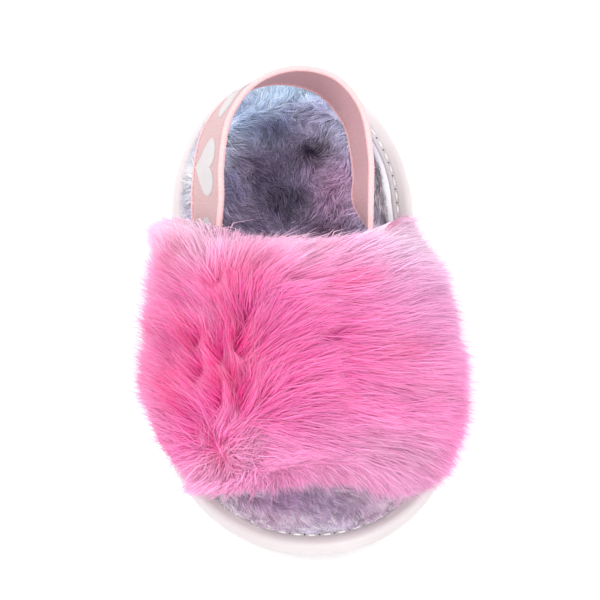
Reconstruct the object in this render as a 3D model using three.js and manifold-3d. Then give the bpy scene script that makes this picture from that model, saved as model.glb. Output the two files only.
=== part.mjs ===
// Baby sandal: a slide with an open toe and an open back. A broad band of deep faux fur arches over the
// forefoot, a plush footbed lies in a white cup sole, and a slack elastic strap loops behind the heel.
// Millimetres. +Z is up, the toe points to -Y, and +X is the inner side of a right foot.
// The origin is on the ground, under the middle of the whole shoe's box.
import * as THREE from "three";
import { mergeVertices } from "three/addons/utils/BufferGeometryUtils.js";
import Module from "manifold-3d";

// ---------------------------------------------------------------- driving dimensions
const CLEARANCE = 0.3; // between pieces that touch

// Sole outline
const SOLE_LENGTH = 120;
const BALL_WIDTH = 68;
const HEEL_WIDTH = 57;
const TOE_DEPTH = 35; // from the toe tip back to the widest line across the ball
const HEEL_DEPTH = 35; // from the back of the heel forward to the widest line across the heel
const TOE_SWING = 1.6; // how far the toe tip leans to the inner side
const TOE_SWING_START = 10; // where along the sole that lean begins

// Sole profile
const TOE_THICKNESS = 7.5;
const HEEL_THICKNESS = 11;
const TOE_SPRING = 3; // lift of the sole's underside at the toe tip
const TOE_SPRING_LENGTH = 22;
const HEEL_ROLL = 1.2; // lift of the underside at the back of the heel
const HEEL_ROLL_LENGTH = 8;
const ARCH_RISE = 1.2; // lift of the underside under the arch of the foot
const ARCH_LENGTH = 30;
const ARCH_CENTRE = 4; // how far behind the sole's middle the arch is highest
const BOTTOM_EDGE = 1.4; // bevel round the tread
const TOP_EDGE = 1.6; // rounding round the rim
const WALL_BULGE = 0.5; // how far the side wall swells between its edges
const RIM_WIDTH = 4.5; // from the outline in to the footbed's tray
const RECESS_DEPTH = 2.5; // of the tray that the footbed lies in

// Tread
const GROOVE_WIDTH = 1.8;
const GROOVE_DEPTH = 1.2;
const GROOVE_PITCH = 6;
const GROOVE_MARGIN = 6; // uncut band round the tread
const GROOVES_UNDER_BALL = 6;
const GROOVES_UNDER_HEEL = 5;
const BALL_TREAD_CENTRE = -22;
const HEEL_TREAD_CENTRE = 37;

// Footbed: a padded board with a plush pile
const FOOTBED_RISE = 3.6; // of the pile above the rim
const FOOTBED_SHOULDER = 5; // how far in from its edge the pile reaches that height
const HEEL_CUP = 1.3; // dip under the heel

// Fur band: fabric backing and pile are one wall
const BACKING = 2;
const PILE = 7.5;
const PILE_AT_FOOT = 3.2; // pile where the band meets the sole
const BAND_FRONT_SIDE = -41; // the band's ends along the sole at the ground and over the instep
const BAND_FRONT_TOP = -47;
const BAND_REAR_SIDE = 16;
const BAND_REAR_TOP = 1;
const INSTEP_FRONT = 22; // height inside the arch above the rim, at the band's front and rear
const INSTEP_REAR = 35;
const ARCH_SQUARENESS = 2.4; // exponent of the arch's superellipse: 2 is an ellipse

// Elastic heel strap
const STRAP_THICKNESS = 1.6;
const STRAP_OVERLAP = 14; // how far forward of the band's rear edge its ends are sewn
const STRAP_RISE = 3; // how much higher the strap stands behind the heel
const STRAP_SKEW = 0.06; // sideways drift of the loop per millimetre towards the back
const STRAP_STRAIGHT = 8; // straight stretch between the band and the loop behind the heel
const LOOP_SQUARENESS = 2.2; // exponent of the loop's superellipse
// Its two edges: the height above the rim, how far each end follows the band on the inner and outer side,
// and the half width, middle and start of the loop, which ends setback in front of the back of the heel
const LOW_EDGE = {
  height: 10.5,
  sewnInner: 5,
  sewnOuter: 13,
  halfWidth: 19.2,
  centre: -3.7,
  start: 28,
  setback: 8.4,
};
const HIGH_EDGE = {
  height: 27,
  sewnInner: 13,
  sewnOuter: 13,
  halfWidth: 17.4,
  centre: 2,
  start: 26,
  setback: 12,
};

// Mesh steps
const OUTLINE_STEPS = 36; // from heel to toe, on each side
const BAND_STEPS_ACROSS = 36;
const BAND_STEPS_ALONG = 14;
const STRAP_STEPS = 64;

// ---------------------------------------------------------------- helpers
const { lerp, smoothstep, clamp } = THREE.MathUtils;
const wasm = await Module();
wasm.setup();

function geometryFrom(positions, triangles) {
  const geometry = new THREE.BufferGeometry();
  geometry.setAttribute("position", new THREE.Float32BufferAttribute(positions, 3));
  geometry.setIndex(triangles);
  return geometry;
}

// A closed solid through rings of points. Each ring runs down the +X side from heel to toe and back up the
// -X side, so its points k and 2n - k face each other, and the end rings are closed by rungs between them.
function loftRings(rings) {
  const count = rings[0].length;
  const positions = rings.flat().flatMap((point) => point.toArray());
  const triangles = [];
  rings.slice(1).forEach((_, r) => {
    for (let k = 0; k < count; k++) {
      const low = r * count + k;
      const lowNext = r * count + ((k + 1) % count);
      triangles.push(low, low + count, lowNext);
      triangles.push(low + count, lowNext + count, lowNext);
    }
  });
  const closeRing = (first, flip) => {
    for (let k = 0; k < count / 2; k++) {
      const right = [first + k, first + k + 1];
      const left = [first + ((count - k) % count), first + count - k - 1];
      const rungs = [
        [right[0], right[1], left[0]],
        [right[1], left[1], left[0]],
      ];
      rungs
        .filter((rung) => new Set(rung).size === 3)
        .forEach(([a, b, c]) => triangles.push(...(flip ? [a, c, b] : [a, b, c])));
    }
  };
  closeRing(0, false);
  closeRing((rings.length - 1) * count, true);
  return geometryFrom(positions, triangles);
}

// A closed solid between two faces that are given as functions of (i, j), for i up to across and j up to
// along. It is thick on the side that the cross product of i's and j's directions points to.
function thickSheet(across, along, nearFace, farFace) {
  const positions = [];
  [farFace, nearFace].forEach((face) => {
    for (let i = 0; i <= across; i++) {
      for (let j = 0; j <= along; j++) positions.push(...face(i, j).toArray());
    }
  });
  const far = (i, j) => i * (along + 1) + j;
  const near = (i, j) => (across + 1) * (along + 1) + far(i, j);
  const triangles = [];
  const quad = (a, b, c, d) => triangles.push(a, b, c, a, c, d);
  for (let i = 0; i < across; i++) {
    for (let j = 0; j < along; j++) {
      quad(far(i, j), far(i + 1, j), far(i + 1, j + 1), far(i, j + 1));
      quad(near(i, j), near(i, j + 1), near(i + 1, j + 1), near(i + 1, j));
    }
    quad(far(i, 0), near(i, 0), near(i + 1, 0), far(i + 1, 0));
    quad(far(i + 1, along), near(i + 1, along), near(i, along), far(i, along));
  }
  for (let j = 0; j < along; j++) {
    quad(far(0, j + 1), near(0, j + 1), near(0, j), far(0, j));
    quad(far(across, j), near(across, j), near(across, j + 1), far(across, j + 1));
  }
  return geometryFrom(positions, triangles);
}

// A three.js geometry as a manifold solid, and back.
function solidOf(geometry) {
  const bare = geometry.clone();
  bare.deleteAttribute("normal");
  bare.deleteAttribute("uv");
  const merged = mergeVertices(bare, 1e-4);
  const mesh = new wasm.Mesh({
    numProp: 3,
    vertProperties: merged.attributes.position.array,
    triVerts: new Uint32Array(merged.index.array),
  });
  return new wasm.Manifold(mesh);
}

function geometryOf(solid) {
  const mesh = solid.getMesh();
  return geometryFrom(Array.from(mesh.vertProperties), Array.from(mesh.triVerts));
}

// ---------------------------------------------------------------- the last: outline, profile and instep
const toeTip = -SOLE_LENGTH / 2;
const heelBack = SOLE_LENGTH / 2;
const ballLine = toeTip + TOE_DEPTH;
const heelLine = heelBack - HEEL_DEPTH;
const sideStep = (heelLine - ballLine) / 3;

// Half of the outline, down the +X side: a quarter ellipse, a straight-sided blend and a quarter ellipse.
const halfOutline = new THREE.Path();
halfOutline.absellipse(0, heelLine, HEEL_WIDTH / 2, HEEL_DEPTH, Math.PI / 2, 0, true);
halfOutline.bezierCurveTo(
  HEEL_WIDTH / 2,
  heelLine - sideStep,
  BALL_WIDTH / 2,
  ballLine + sideStep,
  BALL_WIDTH / 2,
  ballLine,
);
halfOutline.absellipse(0, ballLine, BALL_WIDTH / 2, TOE_DEPTH, 0, -Math.PI / 2, true);

// Half the sole's width across a line at y, the same curve as halfOutline.
function halfWidthAt(y) {
  if (y > heelLine) return (HEEL_WIDTH / 2) * Math.sqrt(1 - ((y - heelLine) / HEEL_DEPTH) ** 2);
  if (y < ballLine) return (BALL_WIDTH / 2) * Math.sqrt(1 - ((y - ballLine) / TOE_DEPTH) ** 2);
  return lerp(BALL_WIDTH / 2, HEEL_WIDTH / 2, smoothstep(y, ballLine, heelLine));
}

const toeLift = (y) => TOE_SPRING * Math.max(0, 1 - (y - toeTip) / TOE_SPRING_LENGTH) ** 2;
const heelLift = (y) => HEEL_ROLL * Math.max(0, 1 - (heelBack - y) / HEEL_ROLL_LENGTH) ** 2;

function archLift(y) {
  const share = (y - ARCH_CENTRE) / ARCH_LENGTH;
  return Math.abs(share) < 0.5 ? ARCH_RISE * Math.cos(Math.PI * share) ** 2 : 0;
}

// Sideways lean of the sole's middle line at y.
const swingAt = (y) => TOE_SWING * clamp((TOE_SWING_START - y) / (TOE_SWING_START - toeTip), 0, 1) ** 2;

const undersideAt = (y) => toeLift(y) + heelLift(y) + archLift(y);
const rimAt = (y) => toeLift(y) + lerp(TOE_THICKNESS, HEEL_THICKNESS, smoothstep(y, toeTip, heelLine));

// A ring round the sole, inset from its outline, at a height that is a function of y.
function outlineRing(inset, heightAt) {
  const side = [];
  for (let k = 0; k <= OUTLINE_STEPS; k++) {
    const point = halfOutline.getPointAt(k / OUTLINE_STEPS);
    const tangent = halfOutline.getTangentAt(k / OUTLINE_STEPS);
    const onAxis = k === 0 || k === OUTLINE_STEPS;
    const x = onAxis ? 0 : point.x + tangent.y * inset;
    const y = point.y - tangent.x * inset;
    side.push(new THREE.Vector3(x, y, heightAt(y)));
  }
  const otherSide = side.slice(1, -1).reverse();
  const ring = [...side, ...otherSide.map((p) => new THREE.Vector3(-p.x, p.y, p.z))];
  ring.forEach((p) => (p.x += swingAt(p.y)));
  return ring;
}

// ---------------------------------------------------------------- outsole
function treadGroove(y) {
  const length = 2 * (halfWidthAt(y) - GROOVE_MARGIN);
  const groove = new THREE.BoxGeometry(length, GROOVE_WIDTH, 2 * GROOVE_DEPTH);
  return solidOf(groove.translate(swingAt(y), y, 0));
}

function grooveLines(centre, count) {
  return Array.from({ length: count }, (_, k) => centre + (k - (count - 1) / 2) * GROOVE_PITCH);
}

function outsoleGeometry() {
  const above = (lift) => (y) => undersideAt(y) + lift;
  const below = (drop) => (y) => rimAt(y) - drop;
  const middle = (y) => (undersideAt(y) + rimAt(y)) / 2;
  const cup = loftRings([
    outlineRing(BOTTOM_EDGE, above(0)),
    outlineRing(0, above(BOTTOM_EDGE)),
    outlineRing(-WALL_BULGE, middle),
    outlineRing(0, below(TOP_EDGE)),
    outlineRing(TOP_EDGE * 0.3, below(TOP_EDGE * 0.3)),
    outlineRing(TOP_EDGE, below(0)),
    outlineRing(RIM_WIDTH, below(0)),
    outlineRing(RIM_WIDTH, below(RECESS_DEPTH)),
  ]);
  const grooves = [
    ...grooveLines(BALL_TREAD_CENTRE, GROOVES_UNDER_BALL),
    ...grooveLines(HEEL_TREAD_CENTRE, GROOVES_UNDER_HEEL),
  ];
  return geometryOf(grooves.reduce((solid, y) => solid.subtract(treadGroove(y)), solidOf(cup)));
}

// ---------------------------------------------------------------- footbed
function insoleGeometry() {
  const edge = RIM_WIDTH + CLEARANCE;
  const cupAt = (y) => HEEL_CUP * smoothstep(y, ballLine, heelLine);
  const pile = (share, dip) => (y) => rimAt(y) + FOOTBED_RISE * share - dip * cupAt(y);
  return loftRings([
    outlineRing(edge, (y) => rimAt(y) - RECESS_DEPTH + CLEARANCE),
    outlineRing(edge, pile(0.2, 0)),
    outlineRing(edge + FOOTBED_SHOULDER * 0.15, pile(0.65, 0)),
    outlineRing(edge + FOOTBED_SHOULDER * 0.5, pile(0.93, 0)),
    outlineRing(edge + FOOTBED_SHOULDER, pile(1, 0.25)),
    outlineRing(edge + FOOTBED_SHOULDER * 2.4, pile(1, 0.9)),
    outlineRing(edge + FOOTBED_SHOULDER * 3.2, pile(1, 1)),
  ]);
}

// ---------------------------------------------------------------- fur band
// The inside of the band, where the foot lies: an arch at every y, at an angle from the -X foot of the
// arch (0) over the top to the +X foot (PI).
function insideOfBand(angle, y) {
  const power = 2 / ARCH_SQUARENESS;
  const halfSpan = halfWidthAt(y) - RIM_WIDTH + CLEARANCE;
  const slope = (y - BAND_FRONT_TOP) / (BAND_REAR_SIDE - BAND_FRONT_TOP);
  const instep = lerp(INSTEP_FRONT, INSTEP_REAR, Math.sin((clamp(slope, 0, 1) * Math.PI) / 2));
  const x = swingAt(y) - halfSpan * Math.sign(Math.cos(angle)) * Math.abs(Math.cos(angle)) ** power;
  const z = rimAt(y) + CLEARANCE + instep * Math.max(0, Math.sin(angle)) ** power;
  return new THREE.Vector3(x, y, z);
}

function bandNormal(angle, y) {
  const step = 1e-3;
  const a = clamp(angle, step, Math.PI - step);
  const over = insideOfBand(a + step, y).sub(insideOfBand(a - step, y));
  const along = insideOfBand(a, y + step).sub(insideOfBand(a, y - step));
  return over.cross(along).normalize();
}

const crown = (angle) => Math.sin(angle) ** 1.5; // 0 at the sole, 1 over the instep
const bandFront = (angle) => lerp(BAND_FRONT_SIDE, BAND_FRONT_TOP, crown(angle));
const bandRear = (angle) => lerp(BAND_REAR_SIDE, BAND_REAR_TOP, crown(angle));

// Places across and along the band. Steps along it are closer at its rounded front and rear.
function bandPlace(i, j) {
  const angle = (Math.PI * i) / BAND_STEPS_ACROSS;
  const share = (1 - Math.cos((Math.PI * j) / BAND_STEPS_ALONG)) / 2;
  return { angle, share, y: lerp(bandFront(angle), bandRear(angle), share) };
}

function insideOfWall(i, j) {
  const { angle, y } = bandPlace(i, j);
  return insideOfBand(angle, y);
}

function outsideOfWall(i, j) {
  const { angle, share, y } = bandPlace(i, j);
  const rounding = Math.sqrt(Math.max(0, 1 - (2 * share - 1) ** 4));
  const pile = lerp(PILE_AT_FOOT, PILE, smoothstep(Math.sin(angle), 0, 0.5));
  const wall = BACKING + pile * rounding;
  const point = insideOfBand(angle, y).addScaledVector(bandNormal(angle, y), wall);
  point.z = Math.max(point.z, rimAt(point.y) + CLEARANCE);
  return point;
}

const furBandGeometry = () =>
  thickSheet(BAND_STEPS_ACROSS, BAND_STEPS_ALONG, insideOfWall, outsideOfWall);

// ---------------------------------------------------------------- heel strap
// The angle at which the inside of the band reaches a height above its foot, on the -X side.
function angleAtHeight(height, y) {
  let low = 0;
  let high = Math.PI / 2;
  for (let k = 0; k < 40; k++) {
    const angle = (low + high) / 2;
    const reached = insideOfBand(angle, y).z - insideOfBand(0, y).z;
    if (reached < height) low = angle;
    else high = angle;
  }
  return low;
}

// A point of the strap's middle surface against the inside of the band; side is 1 for +X and -1 for -X.
function sewnPoint(height, y, side) {
  const angle = angleAtHeight(height, y);
  const gap = CLEARANCE + STRAP_THICKNESS * 0.6;
  const point = insideOfBand(angle, y).addScaledVector(bandNormal(angle, y), -gap);
  const middle = swingAt(y);
  point.x = middle + (middle - point.x) * side;
  return point;
}

// One edge of the strap, from its +X end round the heel to its -X end.
function strapEdge({ height, sewnInner, sewnOuter, halfWidth, centre, start, setback }) {
  const rear = bandRear(angleAtHeight(height, BAND_REAR_SIDE));
  const sewnEnd = (side, length) => {
    const places = [0, 0.5, 1].map((share) => rear - STRAP_OVERLAP + share * length);
    return places.map((y) => sewnPoint(height, y, side));
  };
  const reach = heelBack - setback - start;
  const ground = rimAt(rear) + CLEARANCE + height;
  const straightStart = (side) => {
    const x = centre + side * halfWidth - STRAP_SKEW * STRAP_STRAIGHT;
    return new THREE.Vector3(x, start - STRAP_STRAIGHT, ground);
  };
  const behindHeel = [0, 30, 60, 90, 120, 150, 180].map((degrees) => {
    const turn = THREE.MathUtils.degToRad(degrees);
    const power = 2 / LOOP_SQUARENESS;
    const back = reach * Math.sin(turn) ** power;
    const aside = halfWidth * Math.sign(Math.cos(turn)) * Math.abs(Math.cos(turn)) ** power;
    const x = centre + aside + STRAP_SKEW * back;
    return new THREE.Vector3(x, start + back, ground + STRAP_RISE * Math.sin(turn));
  });
  const points = [
    ...sewnEnd(1, sewnInner),
    straightStart(1),
    ...behindHeel,
    straightStart(-1),
    ...sewnEnd(-1, sewnOuter).reverse(),
  ];
  return new THREE.CatmullRomCurve3(points, false, "centripetal");
}

function heelStrapGeometry() {
  const low = strapEdge(LOW_EDGE);
  const high = strapEdge(HIGH_EDGE);
  const face = (side) => (i, j) => {
    const along = i / STRAP_STEPS;
    const lowPoint = low.getPointAt(along);
    const highPoint = high.getPointAt(along);
    const forward = low.getTangentAt(along).add(high.getTangentAt(along));
    const outward = forward.cross(highPoint.clone().sub(lowPoint)).normalize();
    return lowPoint.lerp(highPoint, j).addScaledVector(outward, (side * STRAP_THICKNESS) / 2);
  };
  return thickSheet(STRAP_STEPS, 1, face(-1), face(1));
}

// ---------------------------------------------------------------- the shoe
function piece(name, geometry, color, roughness) {
  const material = new THREE.MeshStandardMaterial({ color, roughness, metalness: 0 });
  const mesh = new THREE.Mesh(geometry, material);
  mesh.name = name;
  return mesh;
}

const shoe = new THREE.Group();
shoe.add(
  piece("outsole", outsoleGeometry(), 0xf2efec, 0.55),
  piece("insole", insoleGeometry(), 0x8f8fb4, 0.95),
  piece("fur_band", furBandGeometry(), 0xf07abf, 0.9),
  piece("heel_strap", heelStrapGeometry(), 0xecb6bb, 0.8),
);

const box = new THREE.Box3().setFromObject(shoe, true);
shoe.position.set(-(box.min.x + box.max.x) / 2, -(box.min.y + box.max.y) / 2, -box.min.z);

export default shoe;
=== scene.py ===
"""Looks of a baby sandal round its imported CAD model: a band of long faux fur, a plush footbed, an elastic
heel strap printed with hearts, and a white cup sole with a stitched rim.

Shapes are worked out in millimetres, with +Z up, the toe to -Y and the inner side to +X, from the same few
sizes as the CAD part. They are moved into the frame and turned into metres when a mesh is made."""

import math

import bpy
import numpy as np
from mathutils import Matrix, Vector, kdtree


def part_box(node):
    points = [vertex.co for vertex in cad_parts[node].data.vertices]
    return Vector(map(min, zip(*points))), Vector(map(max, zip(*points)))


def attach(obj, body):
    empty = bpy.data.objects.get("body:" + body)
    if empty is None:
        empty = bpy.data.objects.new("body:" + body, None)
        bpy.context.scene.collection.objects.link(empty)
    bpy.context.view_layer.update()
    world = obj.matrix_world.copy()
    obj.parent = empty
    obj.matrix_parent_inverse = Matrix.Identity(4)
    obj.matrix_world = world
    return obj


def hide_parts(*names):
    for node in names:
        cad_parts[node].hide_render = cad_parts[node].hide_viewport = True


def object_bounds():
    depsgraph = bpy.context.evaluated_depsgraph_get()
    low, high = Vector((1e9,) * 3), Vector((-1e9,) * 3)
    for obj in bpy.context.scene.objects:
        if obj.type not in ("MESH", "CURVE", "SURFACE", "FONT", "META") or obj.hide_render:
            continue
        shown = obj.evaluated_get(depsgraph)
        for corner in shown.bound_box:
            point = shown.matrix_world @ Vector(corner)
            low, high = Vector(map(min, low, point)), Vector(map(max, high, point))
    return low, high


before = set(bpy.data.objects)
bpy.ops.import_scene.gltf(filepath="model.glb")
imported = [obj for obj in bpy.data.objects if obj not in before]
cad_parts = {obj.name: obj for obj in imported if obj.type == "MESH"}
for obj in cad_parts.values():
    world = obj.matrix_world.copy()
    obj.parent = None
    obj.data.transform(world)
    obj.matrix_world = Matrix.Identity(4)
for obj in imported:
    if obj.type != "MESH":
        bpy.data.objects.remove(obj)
cad_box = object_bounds()

MM = 0.001
RANDOM = np.random.default_rng(7)

# ---- sizes in millimetres
sole_low, sole_high = (np.array(corner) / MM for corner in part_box("outsole"))

WALL_BULGE = 0.5
SOLE_LENGTH = sole_high[1] - sole_low[1] - 2 * WALL_BULGE
BALL_WIDTH = sole_high[0] - sole_low[0] - 2 * WALL_BULGE
HEEL_THICKNESS = sole_high[2]
HEEL_WIDTH = 57
TOE_DEPTH = 35
HEEL_DEPTH = 35
TOE_SWING = 1.6
TOE_SWING_START = 10
TOE_THICKNESS = 7.5
TOE_SPRING = 3
TOE_SPRING_LENGTH = 22
HEEL_ROLL = 1.2
HEEL_ROLL_LENGTH = 8
ARCH_RISE = 1.2
ARCH_LENGTH = 30
ARCH_CENTRE = 4
BOTTOM_EDGE = 1.4
TOP_EDGE = 1.6
RIM_WIDTH = 4.5
RECESS_DEPTH = 2.5
CLEARANCE = 0.3

BACKING = 2
BAND_FRONT_SIDE = -41
BAND_FRONT_TOP = -47
BAND_REAR_SIDE = 16
BAND_REAR_TOP = 1
INSTEP_FRONT = 22
INSTEP_REAR = 35
ARCH_SQUARENESS = 2.4

STRAP_THICKNESS = 1.6
STRAP_OVERLAP = 14
STRAP_RISE = 3
STRAP_SKEW = 0.06
STRAP_STRAIGHT = 8
LOOP_SQUARENESS = 2.2
LOW_EDGE = dict(height=10.5, sewn_inner=5, sewn_outer=13, half=19.2, centre=-3.7, start=28, setback=8.4)
HIGH_EDGE = dict(height=27, sewn_inner=13, sewn_outer=13, half=17.4, centre=2, start=26, setback=12)

TOE_TIP = -SOLE_LENGTH / 2
HEEL_BACK = SOLE_LENGTH / 2
BALL_LINE = TOE_TIP + TOE_DEPTH
HEEL_LINE = HEEL_BACK - HEEL_DEPTH


def ease(low, high, x):
    share = np.clip((x - low) / (high - low), 0, 1)
    return share * share * (3 - 2 * share)


def mix(a, b, share):
    return a + (b - a) * share


def near(places, region):
    """How near places are to the middle of an oval region, from 0 to 1. A region is its middle and its two
    radii, seen from above."""
    (middle_x, middle_y), (wide, deep) = region
    return np.exp(-(((places[..., 0] - middle_x) / wide) ** 2) - ((places[..., 1] - middle_y) / deep) ** 2)


def unit(vectors):
    length = np.linalg.norm(vectors, axis=-1, keepdims=True)
    return vectors / np.maximum(length, 1e-9)


def linear(red, green, blue):
    """A colour that is known as it looks on a screen, 0 to 255, as the linear light that shaders use."""
    share = np.array([red, green, blue]) / 255
    return np.where(share < 0.04045, share / 12.92, ((share + 0.055) / 1.055) ** 2.4)


# ---- the last: outline, profile and instep
def half_width(y):
    heel = HEEL_WIDTH / 2 * np.sqrt(np.clip(1 - ((y - HEEL_LINE) / HEEL_DEPTH) ** 2, 0, 1))
    toe = BALL_WIDTH / 2 * np.sqrt(np.clip(1 - ((y - BALL_LINE) / TOE_DEPTH) ** 2, 0, 1))
    middle = mix(BALL_WIDTH / 2, HEEL_WIDTH / 2, ease(BALL_LINE, HEEL_LINE, y))
    return np.where(y > HEEL_LINE, heel, np.where(y < BALL_LINE, toe, middle))


def swing(y):
    return TOE_SWING * np.clip((TOE_SWING_START - y) / (TOE_SWING_START - TOE_TIP), 0, 1) ** 2


def toe_lift(y):
    return TOE_SPRING * np.clip(1 - (y - TOE_TIP) / TOE_SPRING_LENGTH, 0, None) ** 2


def underside(y):
    heel = HEEL_ROLL * np.clip(1 - (HEEL_BACK - y) / HEEL_ROLL_LENGTH, 0, None) ** 2
    share = np.clip((y - ARCH_CENTRE) / ARCH_LENGTH, -0.5, 0.5)
    return toe_lift(y) + heel + ARCH_RISE * np.cos(math.pi * share) ** 2


def rim(y):
    return toe_lift(y) + mix(TOE_THICKNESS, HEEL_THICKNESS, ease(TOE_TIP, HEEL_LINE, y))


def below_rim(drop):
    return lambda y: rim(y) - drop


# The CAD model is centred on its box, which moves the sole's middle line off x = 0.
SHIFT = np.array([(sole_low[0] + sole_high[0]) / 2 - swing(BALL_LINE), 0, 0])


def even_steps(points, count, closed):
    """Points at even distances along a line of points."""
    line = np.vstack([points, points[:1]]) if closed else points
    along = np.r_[0, np.cumsum(np.linalg.norm(np.diff(line, axis=0), axis=1))]
    wanted = np.linspace(0, along[-1], count, endpoint=not closed)
    return np.stack([np.interp(wanted, along, line[:, k]) for k in range(line.shape[1])], axis=1)


def outline(count):
    """The sole's outline from the back of the heel round by +X, before its swing, with its normals."""
    quarter = np.linspace(0, math.pi / 2, 200)
    heel = np.c_[HEEL_WIDTH / 2 * np.sin(quarter), HEEL_LINE + HEEL_DEPTH * np.cos(quarter)]
    waist = np.linspace(HEEL_LINE, BALL_LINE, 200)[1:-1]
    side = np.c_[half_width(waist), waist]
    toe = np.c_[BALL_WIDTH / 2 * np.cos(quarter), BALL_LINE - TOE_DEPTH * np.sin(quarter)]
    half = even_steps(np.vstack([heel, side, toe]), count // 2 + 1, closed=False)
    points = np.vstack([half, half[-2:0:-1] * [-1, 1]])
    ahead = np.roll(points, -1, axis=0) - np.roll(points, 1, axis=0)
    return points, unit(np.c_[-ahead[:, 1], ahead[:, 0]])


def outline_ring(count, inset, height):
    """A ring round the sole at an inset from its outline. height is a function of y."""
    points, normals = outline(count)
    points = points - normals * inset
    return np.c_[points[:, 0] + swing(points[:, 1]), points[:, 1], height(points[:, 1])]


# ---- the fur band's surface
def inside_of_band(angle, y):
    """The arch over the foot, from the outer foot of the arch at angle 0 to the inner one at pi. Past the
    feet it goes on straight down."""
    power = 2 / ARCH_SQUARENESS
    over = np.clip(angle, 0, math.pi)
    past_foot = np.abs(angle - over)
    span = half_width(y) - RIM_WIDTH + CLEARANCE
    slope = np.clip((y - BAND_FRONT_TOP) / (BAND_REAR_SIDE - BAND_FRONT_TOP), 0, 1)
    instep = mix(INSTEP_FRONT, INSTEP_REAR, np.sin(slope * math.pi / 2))
    x = swing(y) - span * np.sign(np.cos(over)) * np.abs(np.cos(over)) ** power
    z = rim(y) + CLEARANCE + instep * np.clip(np.sin(over), 0, None) ** power - past_foot * span
    return np.stack([x, y, z], axis=-1)


def band_normal(angle, y):
    step = 1e-3
    inner = np.clip(angle, 0.02, math.pi - 0.02)
    over = inside_of_band(inner + step, y) - inside_of_band(inner - step, y)
    along = inside_of_band(inner, y + step) - inside_of_band(inner, y - step)
    return unit(np.cross(over, along))


def crown(angle):
    return np.clip(np.sin(angle), 0, None) ** 1.5


def band_front(angle):
    return mix(BAND_FRONT_SIDE, BAND_FRONT_TOP, crown(angle))


def band_rear(angle):
    return mix(BAND_REAR_SIDE, BAND_REAR_TOP, crown(angle))


# ---- meshes and materials
def new_object(data):
    item = bpy.data.objects.new(data.name, data)
    bpy.context.scene.collection.objects.link(item)
    return item


def new_mesh(name, points, faces):
    """A mesh from points in millimetres."""
    mesh = bpy.data.meshes.new(name)
    mesh.from_pydata([tuple(p) for p in (np.asarray(points) + SHIFT) * MM], [], faces)
    return mesh


def new_piece(mesh, material):
    """A mesh as a piece that rides on the shoe."""
    piece = new_object(mesh)
    mesh.materials.append(material)
    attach(piece, "root")
    return piece


def add_object(name, points, faces, material, slot):
    mesh = new_mesh(name, points, faces)
    mesh.shade_smooth()
    return new_piece(mesh, material)


def loft_faces(ring_count, around):
    """Quads between closed rings that follow each other in one list of points."""
    faces = []
    for first in range(0, (ring_count - 1) * around, around):
        for k in range(around):
            after = (k + 1) % around
            faces.append((first + k, first + around + k, first + around + after, first + after))
    return faces


def tube_faces(ring_count, around):
    """The faces of a row of rings, with a flat one over each end."""
    last = ring_count * around - 1
    ends = [tuple(range(around)), tuple(range(last, last - around, -1))]
    return loft_faces(ring_count, around) + ends


def rung_faces(first, around, flip):
    """Closes a ring round the sole by rungs from side to side."""
    faces = []
    for k in range(around // 2):
        corners = [first + k, first + k + 1, first + around - k - 1, first + (around - k) % around]
        corners = list(dict.fromkeys(corners))
        faces.append(corners[::-1] if flip else corners)
    return faces


def stack_faces(ring_count, around):
    """The faces of rings round the sole, stacked upwards and closed by rungs at both ends."""
    sides = [face[::-1] for face in loft_faces(ring_count, around)]
    return sides + rung_faces(0, around, True) + rung_faces((ring_count - 1) * around, around, False)


def capsule(start, end, up, width, height, rings=5, around=8):
    """Points and faces of a rounded bar between two points, flattened along up."""
    way = unit(end - start)
    side = unit(np.cross(way, up))
    top = np.cross(side, way)
    turn = np.linspace(0, 2 * math.pi, around, endpoint=False)[:, None]
    circle = np.cos(turn) * side * width / 2 + np.sin(turn) * top * height / 2
    points = []
    for share in np.linspace(0, 1, rings):
        fat = math.sqrt(max(1e-3, 1 - (2 * share - 1) ** 4))
        points.append(mix(start, end, share) + circle * fat)
    return np.vstack(points), tube_faces(rings, around)


def join_shapes(shapes):
    points, faces = [], []
    for shape_points, shape_faces in shapes:
        faces += [tuple(len(points) + k for k in face) for face in shape_faces]
        points += list(shape_points)
    return np.array(points), faces


def set_inputs(node, inputs):
    for name, value in inputs.items():
        node.inputs[name].default_value = value
    return node


def node_beside(other, kind, inputs=None):
    """A new node in the same tree as another one."""
    return set_inputs(other.id_data.nodes.new("ShaderNode" + kind), inputs or {})


def link(output, target):
    output.id_data.links.new(output, target)


def new_material(name, inputs):
    """A material and its shader, with some of the shader's inputs set."""
    material = bpy.data.materials.new(name)
    material.use_nodes = True
    return material, set_inputs(material.node_tree.nodes["Principled BSDF"], inputs)


def noise_node(shader, scale, detail):
    place = node_beside(shader, "TexCoord")
    noise = node_beside(shader, "TexNoise", {"Scale": scale, "Detail": detail})
    link(place.outputs["Object"], noise.inputs["Vector"])
    return noise


def bumpy(shader, noise, strength, depth):
    bump = node_beside(shader, "Bump", {"Strength": strength, "Distance": depth * MM})
    link(noise.outputs["Fac"], bump.inputs["Height"])
    link(bump.outputs["Normal"], shader.inputs["Normal"])


def toned(noise, colours, target):
    """Links to an input a colour that drifts between two with a noise."""
    ramp = node_beside(noise, "ValToRGB")
    for element, place, colour in zip(ramp.color_ramp.elements, (0.3, 0.7), colours):
        element.position = place
        element.color = (*colour, 1)
    link(noise.outputs["Fac"], ramp.inputs["Fac"])
    link(ramp.outputs["Color"], target)


def dye_and_shade_node(shader):
    # The 'dye' layer holds the dye and, on hair and backings, painted shade and highlight too.
    dye = node_beside(shader, "VertexColor")
    dye.layer_name = "dye"
    return dye


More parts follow.
